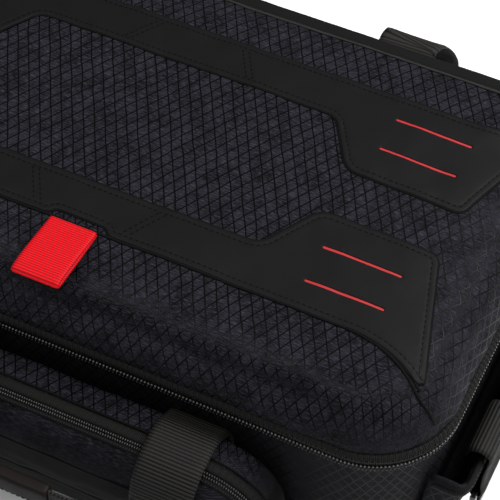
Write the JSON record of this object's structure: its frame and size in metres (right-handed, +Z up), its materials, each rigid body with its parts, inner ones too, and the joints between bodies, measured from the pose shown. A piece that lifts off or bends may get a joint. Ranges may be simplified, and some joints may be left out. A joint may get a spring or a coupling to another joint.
{
  "type": "padded camera shoulder bag",
  "caption": "Padded shoulder bag for camera gear: domed zip-round lid with leatherette guards, red pull tab, front and side pockets, carry handles and padded dividers.",
  "frame": {"origin": "on the floor, under the middle of the whole object's box", "axes": "+X along the bag's length to its right side, +Y to the rear where the lid is hinged, -Y the front with the pocket, +Z up"},
  "size_m": [0.5182, 0.3972, 0.2156],
  "materials": {
    "shell_fabric": "dark charcoal heathered cloth with a raised diamond ripstop grid",
    "leatherette": "matte black fine-grained leatherette",
    "webbing_red": "bright red ribbed webbing",
    "webbing_black": "black ribbed webbing, slight sheen",
    "zip_tape": "black woven zipper tape with a nylon coil",
    "slider_metal": "satin black enamel",
    "lining_fabric": "mid grey brushed loop lining",
    "base_board": "moulded matte black base",
    "foot_rubber": "matte black rubber"
  },
  "bodies": {
    "bag_body": {"body_wall": "shell_fabric", "base_panel": "base_board", "base_pad": "lining_fabric", "inner_liner": "lining_fabric", "rear_binding": "webbing_black", "foot_rear_right": "foot_rubber", "foot_rear_left": "foot_rubber", "foot_front_right": "foot_rubber", "foot_front_left": "foot_rubber", "body_zip_band": "zip_tape", "front_pocket": "shell_fabric", "pocket_zip": "zip_tape", "side_pocket_right": "shell_fabric", "side_pocket_left": "shell_fabric", "side_tab_right": "webbing_black", "side_tab_left": "webbing_black", "side_strap_right": "webbing_black", "side_strap_left": "webbing_black", "front_anchor_right": "webbing_black", "front_anchor_left": "webbing_black", "rear_anchor_right": "webbing_black", "rear_anchor_left": "webbing_black"},
    "lid": {"lid_shell": "shell_fabric", "lid_lining": "lining_fabric", "lid_zip_band": "zip_tape", "hinge_strip": "shell_fabric", "guard_front": "leatherette", "guard_rear": "leatherette", "slit_backing_front_left": "webbing_red", "slit_backing_front_right": "webbing_red", "slit_backing_rear_left": "webbing_red", "slit_backing_rear_right": "webbing_red"},
    "tab": {"pull_tab": "webbing_red"},
    "left_divider": {"divider_left": "lining_fabric"},
    "right_divider": {"divider_right": "lining_fabric"},
    "front_slider": {"main_slider_front": "slider_metal"},
    "front_puller": {"main_puller_front": "slider_metal"},
    "rear_slider": {"main_slider_rear": "slider_metal"},
    "rear_puller": {"main_puller_rear": "slider_metal"},
    "pocket_slider": {"pocket_slider": "slider_metal"},
    "pocket_puller": {"pocket_puller": "slider_metal"},
    "front_handle": {"front_handle_strap": "webbing_black", "front_grip": "leatherette"},
    "rear_handle": {"rear_handle_strap": "webbing_black", "rear_grip": "leatherette"},
    "ring_right": {"side_ring_right": "slider_metal"},
    "ring_left": {"side_ring_left": "slider_metal"}
  },
  "joints": [
    {"name": "lid_hinge", "type": "hinge", "parent": "bag_body", "child": "lid", "pos_m": [0, 0.1424, 0.194], "axis": [-1, 0, 0], "range_deg": [0, 95]},
    {"name": "tab_flip", "type": "hinge", "parent": "lid", "child": "tab", "pos_m": [0, -0.0676, 0.2077], "axis": [-1, 0, 0], "range_deg": [-5, 110], "stiffness_Nm_per_rad": 0.02},
    {"name": "divider_left_slide", "type": "slide", "parent": "bag_body", "child": "left_divider", "axis": [1, 0, 0], "range_m": [-0.1, 0.06]},
    {"name": "divider_right_slide", "type": "slide", "parent": "bag_body", "child": "right_divider", "axis": [1, 0, 0], "range_m": [-0.06, 0.1]},
    {"name": "front_slider_slide", "type": "slide", "parent": "bag_body", "child": "front_slider", "axis": [0, 1, 0], "range_m": [-0.07, 0]},
    {"name": "front_puller_swing", "type": "hinge", "parent": "front_slider", "child": "front_puller", "pos_m": [-0.2478, 0.0034, 0.16], "axis": [0, 1, 0], "range_deg": [0, 100]},
    {"name": "rear_slider_slide", "type": "slide", "parent": "bag_body", "child": "rear_slider", "axis": [0, 1, 0], "range_m": [0, 0.07]},
    {"name": "rear_puller_swing", "type": "hinge", "parent": "rear_slider", "child": "rear_puller", "pos_m": [-0.2478, 0.0254, 0.16], "axis": [0, 1, 0], "range_deg": [0, 100]},
    {"name": "pocket_slider_slide", "type": "slide", "parent": "bag_body", "child": "pocket_slider", "axis": [1, 0, 0], "range_m": [0, 0.11]},
    {"name": "pocket_puller_swing", "type": "hinge", "parent": "pocket_slider", "child": "pocket_puller", "pos_m": [-0.04, -0.1656, 0.14895], "axis": [0, 0.7894, 0.6139], "range_deg": [0, 100]},
    {"name": "front_handle_swing", "type": "hinge", "parent": "bag_body", "child": "front_handle", "pos_m": [0, -0.1491, 0.149], "axis": [-1, 0, 0], "range_deg": [0, 130]},
    {"name": "rear_handle_swing", "type": "hinge", "parent": "bag_body", "child": "rear_handle", "pos_m": [0, 0.1674, 0.1763], "axis": [1, 0, 0], "range_deg": [0, 145]},
    {"name": "ring_right_swing", "type": "hinge", "parent": "bag_body", "child": "ring_right", "pos_m": [0.25246, -0.0466, 0.086], "axis": [0, -1, 0], "range_deg": [0, 90]},
    {"name": "ring_left_swing", "type": "hinge", "parent": "bag_body", "child": "ring_left", "pos_m": [-0.25246, -0.0466, 0.086], "axis": [0, 1, 0], "range_deg": [0, 90]}
  ]
}
